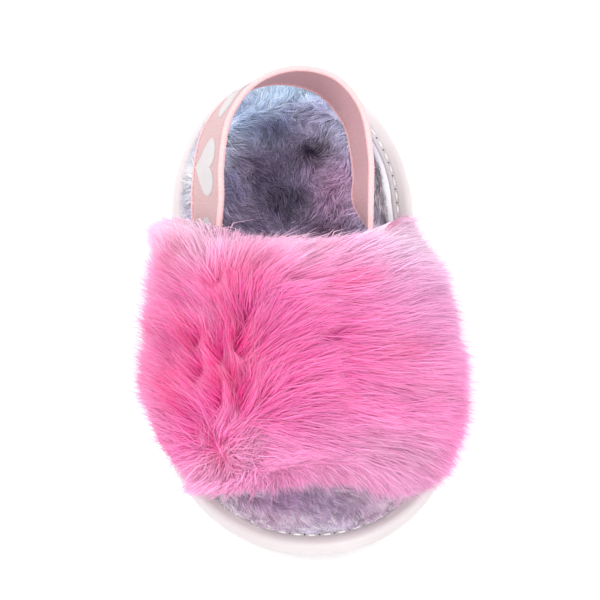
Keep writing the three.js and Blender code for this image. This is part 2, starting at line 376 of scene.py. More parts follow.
def rubber_material():
    soft = {"Subsurface Weight": 0.25, "Subsurface Radius": (0.004, 0.0035, 0.003), "Subsurface Scale": 1}
    material, shader = new_material("white_rubber", {"Roughness": 0.48, **soft})
    colours = [linear(199, 191, 193), linear(207, 200, 202)]
    toned(noise_node(shader, 60, 4), colours, shader.inputs["Base Color"])
    bumpy(shader, noise_node(shader, 1400, 2), 0.12, 0.1)
    return material


def plain_material(name, colour, roughness, grain_scale=1500, grain=0.2, uneven=0.1):
    material, shader = new_material(name, {"Roughness": roughness})
    colours = [np.array(colour) * (1 - uneven), np.minimum(np.array(colour) * (1 + uneven), 1)]
    toned(noise_node(shader, grain_scale / 6, 3), colours, shader.inputs["Base Color"])
    bumpy(shader, noise_node(shader, grain_scale, 2), grain, 0.1)
    return material


def dye_and_shade_material(name, roughness, sheen, nap_scale=0, glow=0):
    """Cloth or hair whose dye, with the painted shade and highlight of hair and backings, is in the mesh's
    colours.
    A glow is the share of light that hair lets through, so that the gaps between hairs keep their colour."""
    nap = {"Specular IOR Level": 0.22, "Sheen Weight": sheen, "Sheen Roughness": 0.4}
    material, shader = new_material(name, {"Roughness": roughness, **nap})
    dye = dye_and_shade_node(shader)
    link(dye.outputs["Color"], shader.inputs["Base Color"])
    if nap_scale:
        bumpy(shader, noise_node(shader, nap_scale, 3), 0.6, 0.4)
    if glow:
        through = node_beside(shader, "BsdfTranslucent")
        blend = node_beside(shader, "MixShader", {"Fac": glow})
        link(dye.outputs["Color"], through.inputs["Color"])
        link(shader.outputs["BSDF"], blend.inputs[1])
        link(through.outputs["BSDF"], blend.inputs[2])
        link(blend.outputs["Shader"], material.node_tree.nodes["Material Output"].inputs["Surface"])
    return material


def fill(items, field, values, kind=np.float32):
    items.foreach_set(field, np.asarray(values, kind).ravel())


def set_dye_and_shade(mesh, colours):
    """Linear colours, one for each vertex."""
    # The 'dye' layer takes the dye and, on hair and backings, the painted shade and highlight in it.
    layer = mesh.color_attributes.new("dye", "FLOAT_COLOR", "POINT")
    fill(layer.data, "color", np.c_[np.clip(colours, 0, 1), np.ones(len(colours))])
    mesh.color_attributes.active_color = layer


# ---- dye, and the painted shade at the fur's roots
def dyed(places, base, spots):
    """The dye at places on the shoe: a base colour with soft spots of others over it, in order. A spot is
    its place, its two radii, its colour and its strength."""
    colour = np.broadcast_to(linear(*base), (len(places), 3))
    for (spot_x, spot_y), (wide, deep), shade, strength in spots:
        distance = ((places[:, 0] - spot_x) / wide) ** 2 + ((places[:, 1] - spot_y) / deep) ** 2
        colour = mix(colour, linear(*shade), strength * np.exp(-(distance**1.3))[:, None])
    return colour


BAND_BASE = (246, 130, 203)
BAND_SPOTS = [
    ((30, -8), (17, 26), (232, 164, 212), 0.9),
    ((26, 6), (18, 12), (242, 226, 242), 0.95),
    ((0, 2), (15, 9), (252, 214, 236), 0.85),
    ((-24, 11), (17, 14), (255, 232, 246), 1),
    ((-39, -10), (10, 30), (255, 196, 234), 0.9),
    ((-17, -24), (14, 13), (224, 50, 156), 0.95),
    ((-28, -15), (8, 15), (236, 62, 164), 0.8),
    ((3, -24), (16, 12), (242, 86, 183), 0.7),
    ((22, -30), (14, 8), (246, 138, 202), 0.6),
    ((-20, -37), (10, 6), (255, 122, 204), 0.7),
    ((-22, -47), (15, 6.5), (255, 204, 234), 0.9),
    ((-4, -50), (26, 7), (242, 158, 210), 0.85),
    ((20, -48), (16, 8), (228, 170, 208), 0.8),
]
# Deep magenta painted shade, deep in the fur at its roots and in its gaps.
PARTING_AND_ROOT_SHADE = (240, 38, 146)

PLUSH_BASE = (172, 160, 196)
PLUSH_SPOTS = [
    ((0, -50), (40, 16), (255, 226, 248), 1),
    ((19, -50), (10, 12), (255, 226, 248), 1),
    ((3, -50), (10, 6), (206, 188, 220), 0.7),
    ((-22, -47), (9, 10), (255, 236, 252), 0.95),
    ((-8, -48), (9, 3.2), (208, 170, 214), 0.8),
    ((1, -57), (12, 2.6), (236, 230, 250), 0.8),
    ((-8, 47), (11, 8), (176, 198, 226), 0.9),
    ((-18, 40), (6, 9), (210, 220, 240), 0.9),
    ((14, 43), (8, 9), (204, 206, 232), 0.85),
    ((11, 27), (8, 10), (202, 158, 196), 0.9),
    ((-14, 26), (7, 9), (206, 202, 232), 0.85),
    ((-3, 31), (7, 9), (92, 84, 124), 0.8),
    ((-3, 45), (6, 2.6), (98, 102, 152), 0.8),
    ((-14, 30), (3, 4), (120, 126, 174), 0.7),
    ((6, 38), (4.6, 3.4), (44, 20, 60), 1),
    ((-1, 25), (7, 5), (60, 50, 90), 0.85),
    ((8, 17), (6, 3.4), (98, 50, 96), 0.9),
    ((2, 56), (18, 5.5), (180, 202, 224), 1),
    ((-25, 36), (4, 16), (236, 238, 248), 0.95),
    ((27, 26), (8, 22), (255, 252, 255), 1),
]


# ---- hair
HAIR_STEPS = 2
HAIR_TAPER = (0.8, 1)  # how wide a hair is at its root and at its widest, as a share
PILE_SHARE = 0.78  # how far light falls on the pile as a whole, and not on the side of each hair
SEEN_SHARE = 0.33  # a hair takes the dye of the place this far along its last step


def hair_paths(surface, limits, roots, flow, length, root_lift, tip_lift):
    """Lines of points for hairs that rise from a surface and bend over along it. surface(u, v, height,
    *limits) gives points. roots are places (u, v) on it, flow is the hair's way over it in u and v per
    millimetre, and the lifts are the hair's angles to the surface at its root and its tip."""
    share = np.linspace(0, 1, HAIR_STEPS + 1)
    lift = mix(root_lift[:, None], tip_lift[:, None], ((share[1:] + share[:-1]) / 2)[None])
    piece = (length / HAIR_STEPS)[:, None]
    zero = np.zeros((len(roots), 1))
    along = np.hstack([zero, np.cumsum(np.cos(lift) * piece, axis=1)])
    height = np.hstack([zero, np.cumsum(np.sin(lift) * piece, axis=1)])
    u = roots[:, 0:1] + flow[:, 0:1] * along
    v = roots[:, 1:2] + flow[:, 1:2] * along
    return surface(u, v, height, *limits)


def hair_dye(paths, base, spots):
    """The dye of each hair as a whole, one colour a hair."""
    return dyed(mix(paths[:, -2], paths[:, -1], SEEN_SHARE), base, spots)


def varied(amount, count):
    """Random factors round 1."""
    return np.exp(RANDOM.normal(0, amount, count))


def along_hair(root, dye, tip, root_end, tip_start):
    """The colour at each point of each hair, from the colours of its root, its middle and its tip."""
    share = np.linspace(0, 1, HAIR_STEPS + 1)[None, :, None]
    colour = mix(root[:, None], dye[:, None], ease(0, root_end, share))
    return mix(colour, tip[:, None], ease(tip_start, 1, share))


def gather(paths, roots, tufts, tuft_roots, pull):
    """Bends hairs towards the middle hair of their tuft, more so at the tip. Gives each hair's tuft too."""
    tree = kdtree.KDTree(len(tuft_roots))
    for index, root in enumerate(tuft_roots):
        tree.insert((*root, 0), index)
    tree.balance()
    mine = np.array([tree.find((*root, 0))[1] for root in roots])
    share = np.linspace(0, 1, paths.shape[1])[None, :, None] ** 1.2
    return mix(paths, tufts[mine], pull[:, None, None] * share), mine


def add_hair(name, paths, normals, width, colours, material):
    """Hairs as flat tapering ribbons in one mesh. paths is hairs x points x 3, colours is the same for the
    colour at each point, dye with painted shade and highlight, and normals says which way each hair's flat
    side faces."""
    count, points = paths.shape[:2]
    per_hair = 2 * points - 1

    def on_vertices(sides, tips):
        return np.concatenate([sides.reshape(count, per_hair - 1, -1), tips], axis=1)

    way = unit(np.gradient(paths, axis=1))
    roll = RANDOM.uniform(-0.7, 0.7, count)[:, None, None]
    flat = unit(np.cross(way, normals[:, None, :]))
    aside = unit(flat * np.cos(roll) + np.cross(way, flat) * np.sin(roll))[:, :-1]
    half = aside * width[:, None, None] / 2 * np.linspace(*HAIR_TAPER, HAIR_STEPS)[None, :, None]
    body = paths[:, :-1]
    vertices = on_vertices(np.stack([body - half, body + half], axis=2), paths[:, -1:])

    triangles = []
    for k in range(0, per_hair - 3, 2):
        triangles += [(k, k + 1, k + 3), (k, k + 3, k + 2)]
    triangles.append((per_hair - 3, per_hair - 2, per_hair - 1))
    faces = (np.array(triangles)[None] + per_hair * np.arange(count)[:, None, None]).reshape(-1, 3)

    mesh = bpy.data.meshes.new(name)
    mesh.vertices.add(count * per_hair)
    fill(mesh.vertices, "co", (vertices + SHIFT) * MM)
    mesh.loops.add(faces.size)
    fill(mesh.loops, "vertex_index", faces, np.int32)
    mesh.polygons.add(len(faces))
    fill(mesh.polygons, "loop_start", np.arange(0, faces.size, 3), np.int32)
    fill(mesh.polygons, "use_smooth", np.ones(len(faces)), bool)
    mesh.update(calc_edges=True)

    # Each hair has its own cell of the map, so that its colours can be baked.
    cells = math.ceil(math.sqrt(count))
    corner = np.stack([np.arange(count) % cells, np.arange(count) // cells], axis=-1)
    inside = [(side, k / (points - 1)) for k in range(points - 1) for side in (0, 1)] + [(0.5, 1)]
    places = (corner[:, None, :] + 0.12 + 0.76 * np.array(inside)[None]) / cells
    fill(mesh.uv_layers.new(name="OFBake").data, "uv", places.reshape(-1, 2)[faces.ravel()])

    set_dye_and_shade(mesh, on_vertices(np.repeat(colours[:, :-1], 2, axis=1), colours[:, -1:]).reshape(-1, 3))
    flank = unit(np.cross(aside, way[:, :-1]))
    lit = mix(on_vertices(np.repeat(flank, 2, axis=1), flank[:, -1:]), normals[:, None, :], PILE_SHARE)
    mesh.normals_split_custom_set_from_vertices(unit(lit).reshape(-1, 3).astype(np.float32))
    new_piece(mesh, material)


# ---- fur band
FUR_LENGTH = 13.5
FUR_WIDTH = 0.19
FUR_HAIRS = 62000  # in each of the three pieces
ANGLE_SCALE = (30, 1)  # turns a place (angle, y) on the band into millimetres, about
REAR_MARGIN = 4  # bare edge at the rear, which the fur in front of it covers
OUTER_ANGLE = 1.12  # where the fur is split into an outer, a top and an inner piece
INNER_ANGLE = 2.02
SOURCE = ((-23, -39), (9, 5))  # where the fur fans out from, near the front edge
OPEN_FUR = ((-19, -26), (9, 16))  # fur that stands up more
PUFFED_FUR = ((-28, 10), (16, 14))  # by the outer end of the strap
# Where the fur has the most painted shade at its roots.
DEEPEST_ROOT_SHADE = ((-18, -26), (15, 19))  # fur with the strongest magenta at its roots
# Where the fur has the least painted shade at its roots.
WEAK_ROOT_SHADE = ((-23, -40), (9, 6))
SOURCE_DEPTH = 9  # on the outer side, the fur turns from forward at the front edge to back at this depth

# Places where the fur has opened: middle, radii and how far it is pushed apart.
FUR_GAPS = [
    ((-12, -11), (2.2, 3.6), 1.3),
    ((-13.5, -20), (1.8, 3.2), 1.2),
    ((-14, -30), (2.2, 4.4), 1.4),
    ((-21.5, -30), (2, 4.4), 1.4),
    ((-20, -20), (1.8, 3.2), 1.2),
    ((-17, -25), (1.3, 2.4), 1),
    ((-26, -24), (1.8, 2.8), 0.9),
    ((-25, -15), (1.6, 3), 0.8),
    ((-27, -36), (1.8, 3.4), 1.1),
    ((-20, -3), (2, 3.2), 0.8),
    ((4, -8), (4, 1.3), 0.7),
    ((12, -22), (4.6, 1.2), 0.7),
    ((0, -31), (3.6, 1.2), 0.6),
]
GAP_HEIGHTS = (8, 26)  # the gaps fade out between these heights, down the outer side


def parting(y):
    """Where the fur parts to the inner and the outer side."""
    return np.interp(y, [-44, -33, -5, 10], [-22, -14, -11, -13])


def overhang(angle):
    """How far each hair may reach past the band's front and rear edges."""
    vary = varied(0.3, (2, len(angle)))
    front_angles = [0, 0.5, 0.9, 1.3, 1.9, 2.3, 2.6, math.pi]
    front = np.interp(angle, front_angles, [0.5, 0.8, 2, 5, 7.5, 5, 1.6, 0.4])
    rear = np.interp(angle, [0, 0.4, 0.9, 1.2, 1.5, 2.4, math.pi], [4.5, 6, 5, 2.4, 1.8, 1, 0.4])
    return (front * vary[0])[:, None], (rear * vary[1] ** 2)[:, None]


def fur_surface(angle, y, height, front_reach, rear_reach):
    """Places over the band's backing. Past the band's edges the fur droops, and it never reaches far."""
    ahead = np.clip(band_front(angle) - y, 0, None)
    behind = np.clip(y - band_rear(angle), 0, None)
    reached = y + ahead - front_reach * np.tanh(ahead / front_reach)
    reached = reached - behind + rear_reach * np.tanh(behind / rear_reach)
    normal = band_normal(angle, reached)
    normal[..., 1] *= 1 - 0.85 * ease(1.9, 2.6, angle) - 0.5 * (1 - ease(0.5, 1.1, angle))
    point = inside_of_band(angle, reached) + unit(normal) * (BACKING + height)[..., None]
    point[..., 2] -= np.minimum(ahead**2 / 14, ahead * 1.2) + behind**2 / 12
    past_sole = np.abs(point[..., 0] - swing(reached)) - half_width(reached)
    lowest = rim(reached) + 0.4 - np.clip(past_sole, 0, 3.5)
    point[..., 2] = np.maximum(point[..., 2], lowest)
    return point


def fur_flow(x, y, ahead):
    """The way the fur is combed, as an angle from +X round towards the heel. ahead is the distance to the
    band's front edge. On the inner side of its parting the fur lies over to the inner side, fanned to the
    front and the rear. On the outer side it lies back and out. At the front edge all of it turns forward."""
    past = x - parting(y) + 2.2 * np.sin(y / 2.7 + x / 5) + 1.4 * np.sin(y / 1.4 + x / 2)
    front = np.interp(x, [-34, -24, -14, 0, 12, 22, 30], [-150, -118, -84, -64, -54, -34, 0])
    fan = np.interp(y, [-44, -34, -24, -10, 0, 10], [-26, -10, -1, 5, 24, 32])
    by_parting = np.interp(y, [-44, -38, -20, -5, 8], [60, 72, 60, 50, 56])
    fan = mix(fan, -10, ease(22, 28, x) * ease(6, 11, y))
    fan = mix(fan, 8, ease(20, 30, x) * (1 - ease(-40, -28, y)))
    inner = mix(by_parting, fan, ease(0, 9, past))
    inner = mix(front, inner, ease(0.5, 8, ahead))
    outer = np.interp(-past, [0, 5, 12, 20, 30], [80, 104, 132, 154, 166])
    rear_outer = np.interp(-past, [0, 12, 26], [64, 88, 102])
    outer = mix(outer, rear_outer, ease(-6, 8, y))
    outer = mix(front + 360, outer, ease(0, SOURCE_DEPTH + 2 * np.sin(x / 1.9), ahead))
    wave = 9 * np.sin(x / 4.1 + y / 7.3) + 7 * np.sin(y / 3.7 - x / 6.1 + 1.3)
    return np.radians(np.where(past > 0, inner, outer) + wave)


def near_gap(points, gap):
    """How near places are to the middle of a gap in the fur, from 0 to 1. The gaps are on top of the band."""
    return near(points, gap[:2]) * ease(*GAP_HEIGHTS, points[..., 2])


def open_gaps(points):
    """Pushes hair apart at the gaps, more so towards the tips, and leaves it short in their middles."""
    share = np.linspace(0, 1, points.shape[1])[None, :]
    for gap in FUR_GAPS:
        (gap_x, gap_y), _, push = gap
        cut = 0.5 * min(push, 1) * near_gap(points[:, -1], gap)
        points = mix(points, points[:, :1], cut[:, None, None])
        aside_x = points[..., 0] - gap_x
        aside_y = points[..., 1] - gap_y
        moved = near_gap(points, gap) * push * share
        points[..., 0] += aside_x * moved
        points[..., 1] += aside_y * moved * 0.5
    return points


def fur_roots(count, low, high):
    """Random places (angle, y) on the band between two angles, thicker towards its edges."""
    angle = RANDOM.uniform(low, high, count)
    share = RANDOM.uniform(-0.01, 1.01, count)
    edge = RANDOM.random(count)
    share = np.where(edge < 0.05, RANDOM.uniform(-0.02, 0.03, count), share)
    share = np.where(edge > 0.96, RANDOM.uniform(0.97, 1.02, count), share)
    rear = band_rear(angle) - REAR_MARGIN * ease(0.9, 1.3, angle) * (1 - ease(2.1, 2.5, angle))
    return np.c_[angle, mix(band_front(angle), rear, share)]


def fur_hairs(roots, ruffle, spread):
    """Paths of the hairs at some roots, and the roots as points. The ruffle is how far hairs turn from the
    flow, in radians, and the spread is how far their lifts vary, in degrees."""
    angle, y = roots[:, 0], roots[:, 1]
    base = inside_of_band(angle, y)
    step = 0.01
    stretch = np.linalg.norm(inside_of_band(angle + step, y) - base, axis=1) / step
    stretch = np.clip(stretch, 18, 60)
    x = base[:, 0]
    source = near(base, SOURCE)
    ahead = y - band_front(angle) + 1.5 * source * RANDOM.normal(0, 1, len(roots))
    comb = fur_flow(x, y, ahead) + RANDOM.normal(0, ruffle, len(roots)) * (1 + 0.5 * source)
    open_fur = near(base, OPEN_FUR)
    puff = near(base, PUFFED_FUR)
    clump = 7 * np.sin(x / 2.9 + 2 * np.sin(y / 5.3)) * np.sin(y / 2.6 + 1.7 * np.sin(x / 4.7)) * (1 - source)
    root_lift = np.radians(60 + 14 * open_fur + 5 * puff + clump + RANDOM.normal(0, spread, len(roots)))
    tip_lift = np.radians(8 + 26 * open_fur + 10 * puff + clump + RANDOM.normal(0, 1.4 * spread, len(roots)))
    flow = np.c_[np.cos(comb) / stretch, np.sin(comb)]
    grown = FUR_LENGTH * np.exp(np.clip(RANDOM.normal(0, spread / 45, len(roots)), -0.6, 0.22))
    low_down = 1 - ease(0, 0.75, np.minimum(angle, math.pi - angle))
    rear_corner = ease(2, 14, y) * (0.25 * low_down + 0.2 * ease(2.2, 2.9, angle))
    front_corner = 0.5 * (1 - ease(-41, -33, y)) * low_down
    inner_side = 0.24 * ease(2.2, 2.8, angle)
    grown = grown * (1 - 0.2 * open_fur - 0.1 * source - rear_corner - front_corner - inner_side)
    by_rear = (1 - ease(2, 11, band_rear(angle) - y)) * ease(0.7, 1.2, angle)
    root_lift = root_lift * (1 - 0.4 * low_down) * (1 - 0.55 * by_rear) * (1 - 0.55 * source)
    tip_lift = tip_lift * (1 - 0.8 * low_down) - 0.35 * by_rear - 0.2 * source
    return hair_paths(fur_surface, overhang(angle), roots, flow, grown, root_lift, tip_lift), base


def fur_colours(base, paths, tuft, tuft_shade, tuft_pale):
    """The colour along each hair: its dye, with deep magenta painted shade at the root and in the gaps, and a
    painted highlight that pales the tip.
    """
    count = len(base)
    dye = hair_dye(paths, BAND_BASE, BAND_SPOTS)
    dye = mix(dye, linear(255, 214, 238), tuft_pale[tuft][:, None])
    # Painted shade: hairs at the gaps and over them turn deep magenta.
    for gap in FUR_GAPS:
        inside = np.maximum(near_gap(base, gap), near_gap(paths[:, -1], gap))
        dye = mix(dye, linear(*PARTING_AND_ROOT_SHADE), (0.7 * min(gap[-1], 1.2) * inside)[:, None])
    # Painted shade: each root turns deep magenta, most in the deep fur and least where the fur fans out from
    # its source.
    depth = near(base, DEEPEST_ROOT_SHADE)
    calm = near(base, WEAK_ROOT_SHADE)
    root = mix(dye * 0.9, linear(*PARTING_AND_ROOT_SHADE), ((0.45 + 0.5 * depth) * (1 - 0.4 * calm))[:, None])
    # Painted highlight: each hair pales towards its tip by a random share.
    tip = mix(dye, linear(255, 226, 244), (0.14 + 0.42 * RANDOM.random(count) ** 1.5)[:, None])
    shade = tuft_shade[tuft] * varied(0.08, count)
    return along_hair(root, dye, tip, 0.7, 0.4) * shade[:, None, None]


def add_fur(material):
    """The fur, in three pieces. Every hair leans to one of many fine tufts, and those lean to larger ones."""

    def grow(count, ruffle, spread):
        """The middle hairs of tufts all over the band."""
        roots = fur_roots(count, 0, math.pi)
        return roots, fur_hairs(roots, ruffle, spread)[0]

    lock_roots, locks = grow(420, 0.22, 9)
    lock_pale = 0.36 * RANDOM.random(len(locks)) ** 1.6
    tuft_roots, tufts = grow(1500, 0.2, 9)
    fine_roots, fine = grow(13000, 0.14, 8)
    tuft_shade = varied(0.07, len(tufts))

    def lean(hairs, roots, tufts, tuft_roots, pull):
        return gather(hairs, roots * ANGLE_SCALE, tufts, tuft_roots * ANGLE_SCALE, pull)

    def outer_side(roots):
        return 1 - ease(1.1, 1.7, roots[:, 0])

    tufts, lock = lean(tufts, tuft_roots, locks, lock_roots, 0.15 + 0.5 * outer_side(tuft_roots))
    tuft_pale = 0.5 * lock_pale[lock] * (0.5 + RANDOM.random(len(tufts)))
    fine, _ = lean(fine, fine_roots, tufts, tuft_roots, 0.5 + 0.3 * outer_side(fine_roots))
    edges = [0, OUTER_ANGLE, INNER_ANGLE, math.pi]
    names = ["fur_outer_side", "fur_top", "fur_inner_side"]
    for name, low, high in zip(names, edges, edges[1:]):
        roots = fur_roots(FUR_HAIRS, low, high)
        paths, base = fur_hairs(roots, 0.24, 11)
        stray = RANDOM.random(FUR_HAIRS) < 0.16
        pull = np.where(stray, 0.05, RANDOM.uniform(0.3, 0.8, FUR_HAIRS))
        paths, _ = lean(paths, roots, fine, fine_roots, pull)
        _, tuft = lean(paths[:, :1], roots, tufts[:, :1], tuft_roots, pull)
        paths = open_gaps(paths)
        normals = band_normal(roots[:, 0], roots[:, 1])
        width = FUR_WIDTH * varied(0.2, FUR_HAIRS)
        colours = fur_colours(base, paths, tuft, tuft_shade, tuft_pale)
        add_hair(name, paths, normals, width, colours, material)


def add_band_wall(material):
    """The lined backing of the fur: one closed wall, with its edges rolled over."""
    across, along, lip = 90, 40, 8
    angle = np.linspace(0, math.pi, across + 1)[:, None]
    out = np.linspace(0, 1, along + 1)
    turn = np.linspace(0, math.pi, lip + 1)[1:-1]
    share = np.r_[out, np.ones(lip - 1), out[::-1], np.zeros(lip - 1)]
    side = np.r_[np.zeros(along + 1), (1 - np.cos(turn)) / 2, np.ones(along + 1), (1 + np.cos(turn)) / 2]
    bulge = np.r_[np.zeros(along + 1), np.sin(turn), np.zeros(along + 1), -np.sin(turn)]
    y = mix(band_front(angle), band_rear(angle), share[None]) + bulge[None] * BACKING / 2
    angle = np.broadcast_to(angle, y.shape)
    points = inside_of_band(angle, y) + band_normal(angle, y) * (side[None, :, None] * BACKING)
    flat = points.reshape(-1, 3)
    wall = add_object("band_wall", flat, tube_faces(*y.shape), material, "band_fur")
    lining = linear(238, 190, 214)
    # Under the fur the backing takes the fur's dye darkened by 0.85: painted shade beneath the pile.
    pile_dye_in_shade = dyed(flat, BAND_BASE, BAND_SPOTS) * 0.85
    covered = np.broadcast_to(side[None], y.shape).reshape(-1)
    set_dye_and_shade(wall.data, mix(lining, pile_dye_in_shade, ease(0.2, 0.7, covered)[:, None]))
    return wall


# ---- footbed
BOARD_RISE = 0.9
BOARD_SIDE = 0.2  # how far under the rim the board's edge starts to round over
BOARD_EDGE = 2.4
BOARD_REACH = 28  # from the middle of the board to its edge, about
HEEL_CUP = 1.3
PLUSH_WIDTH = 0.175


def board_height(y):
    cup = HEEL_CUP * ease(BALL_LINE, HEEL_LINE, y)
    return rim(y) + BOARD_RISE - cup


def add_footbed(material):
    """The padded board under the plush, crowned and rounded at its edge."""
    around = 240
    edge = RIM_WIDTH + 0.05
    profile = [(0, below_rim(RECESS_DEPTH - CLEARANCE))]
    for turn in np.linspace(0, math.pi / 2, 7):
        drop = BOARD_SIDE - (0.1 + BOARD_SIDE + BOARD_RISE) * math.sin(turn)
        profile.append((BOARD_EDGE * (1 - math.cos(turn)), below_rim(drop)))
    for inset, share in [(5, 0.5), (8, 0.9), (12, 1)]:
        profile.append((inset, lambda y, s=share: mix(rim(y) + BOARD_RISE + 0.1, board_height(y), s)))
    points = np.vstack([outline_ring(around, edge + inset, height) for inset, height in profile])
    board = add_object("footbed", points, stack_faces(len(profile), around), material, "footbed_plush")
    # The board takes the plush's dye darkened by a tenth: painted shade beneath the plush.
    set_dye_and_shade(board.data, dyed(points, PLUSH_BASE, PLUSH_SPOTS) * 0.9)
    return board


def board_share(x, y):
    """How far out a place is, from 0 in the middle of the board to 1 at its edge."""
    edge = RIM_WIDTH + CLEARANCE
    aside = x - swing(y)
    toe = np.clip(BALL_LINE - y, 0, None) / (TOE_DEPTH - edge)
    heel = np.clip(y - HEEL_LINE, 0, None) / (HEEL_DEPTH - edge)
    side = aside / (half_width(np.clip(y, BALL_LINE, HEEL_LINE)) - edge)
    return np.sqrt(side**2 + toe**2 + heel**2)


def bare_rim(x, y):
    """How far a place is in the inner side of the heel, where the plush stops short of the rim."""
    return ease(8, 16, y) * ease(5, 13, x) * (1 - ease(42, 52, y))


def plush_surface(x, y, height, spill):
    """Places over the footbed's board. Past its edge the plush falls onto the rim, but only so far."""
    share = board_share(x, y)
    limit = spill / BOARD_REACH
    start = 1 - 0.08 * bare_rim(x, y)
    beyond = start + limit * np.tanh((share - start) / limit)
    kept = np.where(share > start, beyond, share) / np.maximum(share, 1e-6)
    middle = np.clip(y, BALL_LINE, HEEL_LINE)
    new_y = middle + (y - middle) * kept
    new_x = swing(y) + (x - swing(y)) * kept
    past = np.clip((share * kept - 1) * BOARD_REACH + 1.5, 0, None)
    z = board_height(new_y) + height - np.minimum(past**2 / 5, past * 0.9)
    return np.stack([new_x, new_y, np.maximum(z, rim(new_y) + 0.25)], axis=-1)


def plush_roots(count, y_low, y_high):
    """Random places on the board between two lines across it, with more of them along its edge."""
    y = RANDOM.uniform(max(y_low, TOE_TIP + 5), min(y_high, HEEL_BACK - 5), count)
    x = RANDOM.uniform(-1, 1, count)
    at_edge = RANDOM.random(count) < 0.14
    x = np.where(at_edge, np.sign(x) * RANDOM.uniform(0.93, 1, count), x)
    at_back = RANDOM.random(count) < 0.06
    y = np.where(at_back & (y > 30), HEEL_BACK - 5 - 2.5 * RANDOM.random(count), y)
    reach = np.clip(half_width(y) - RIM_WIDTH - CLEARANCE, 0.5, None)
    return np.c_[swing(y) + x * reach, y]


def turned(way, angle):
    """Ways on the flat, turned by an angle."""
    x, y = way[..., 0], way[..., 1]
    return np.stack([x * np.cos(angle) - y * np.sin(angle), x * np.sin(angle) + y * np.cos(angle)], axis=-1)


def plush_flow(x, y):
    """The plush is brushed forward and in to the middle behind the band, and forward and inwards at the
    toe. Along its edge it falls out over the rim."""
    heel = np.stack([-0.75 * np.tanh((x - 1) / 7), -np.ones_like(x)], axis=-1)
    toe = np.stack([0.75 + 0 * x, np.full_like(x, -0.8)], axis=-1)
    flow = mix(toe, heel, ease(-20, 5, y)[..., None])
    whorl_x, whorl_y = x - 6, y - 39
    in_whorl = np.exp(-(whorl_x**2 + whorl_y**2) / 22)
    round_whorl = np.stack([-whorl_y + 0.6 * whorl_x, whorl_x + 0.6 * whorl_y], axis=-1)
    flow = mix(unit(flow), unit(round_whorl), 0.9 * in_whorl[..., None])
    edge = ease(0.84, 0.97, board_share(x, y))
    outward = unit(np.stack([x - swing(y), y - np.clip(y, BALL_LINE, HEEL_LINE)], axis=-1))
    flow = mix(flow, outward, (0.9 * edge)[..., None])
    back = ease(48, 53, y + (x / 12) ** 2)
    outward = unit(np.stack([x, y - 20], axis=-1))
    flow = mix(flow, outward, (0.95 * back)[..., None])
    wave = 0.35 * np.sin(x / 1.9 + 2 * np.sin(y / 3.1)) + 0.3 * np.sin(y / 2.3 + x / 3.7)
    return turned(unit(flow), wave)


def plush_hairs(roots, length, ruffle):
    x, y = roots[:, 0], roots[:, 1]
    flow = turned(plush_flow(x, y), RANDOM.normal(0, ruffle, len(roots)))
    back = ease(47, 53, y + (x / 12) ** 2)
    at_toe = ease(0.82, 0.97, board_share(x, y)) * (1 - ease(-40, -20, y))
    root_lift = np.radians(60 - 30 * back - 30 * at_toe + RANDOM.normal(0, 10, len(roots)))
    tip_lift = np.radians(12 - 8 * back - 10 * at_toe + RANDOM.normal(0, 14, len(roots)))
    grown = length * (1 - 0.25 * back) * varied(0.15, len(roots))
    spill = np.interp(y, [-60, -40, 10, 30, 50, 60], [0.7, 1.6, 1.4, 1.6, 2.6, 3.2])
    spill = np.where((x < 0) & (y > 0), np.maximum(spill, 3.2), spill)
    spill = mix(spill, 0.5, bare_rim(x, y))
    spill = (spill * varied(0.3, len(roots)))[:, None]
    return hair_paths(plush_surface, [spill], roots, flow, grown, root_lift, tip_lift)


def add_plush(name, count, y_low, y_high, length, material):
    tuft_roots = plush_roots(count // 14, y_low, y_high)
    tufts = plush_hairs(tuft_roots, length, 0.35)
    roots = plush_roots(count, y_low, y_high)
    paths = plush_hairs(roots, length, 0.3)
    paths, tuft = gather(paths, roots, tufts, tuft_roots, RANDOM.uniform(0.3, 0.85, count))
    tuft_shade = varied(0.22, len(tuft_roots))
    dye = hair_dye(paths, PLUSH_BASE, PLUSH_SPOTS)
    tip = mix(dye, linear(240, 236, 248), (0.1 + 0.4 * RANDOM.random(count) ** 2)[:, None])
    # Painted shade: the roots are darker, less so where the dye is pale.
    root = dye * (0.42 + 0.5 * dye.mean(axis=1))[:, None]
    shade = tuft_shade[tuft] * varied(0.2, count)
    colour = along_hair(root, dye, tip, 0.6, 0.45) * shade[:, None, None]
    normals = np.tile([0, 0, 1.0], (count, 1))
    width = PLUSH_WIDTH * varied(0.2, count)
    add_hair(name, paths, normals, width, colour, material)


# ---- sole
STITCH_INSET = 3.3
STITCH_PITCH = 3.5
STITCH_STEPS = 20  # points along the rim for each stitch
CHANNEL_WIDTH = 1.1
CHANNEL_DEPTH = 0.12
TRAY_EDGE = 0.25
GROOVE_WIDTH = 1.8
GROOVE_DEPTH = 1.2
GROOVE_PITCH = 6
GROOVE_MARGIN = 6
GROOVE_ROWS = [(-22, 6), (37, 5)]  # middle and number of the grooves under the ball and the heel


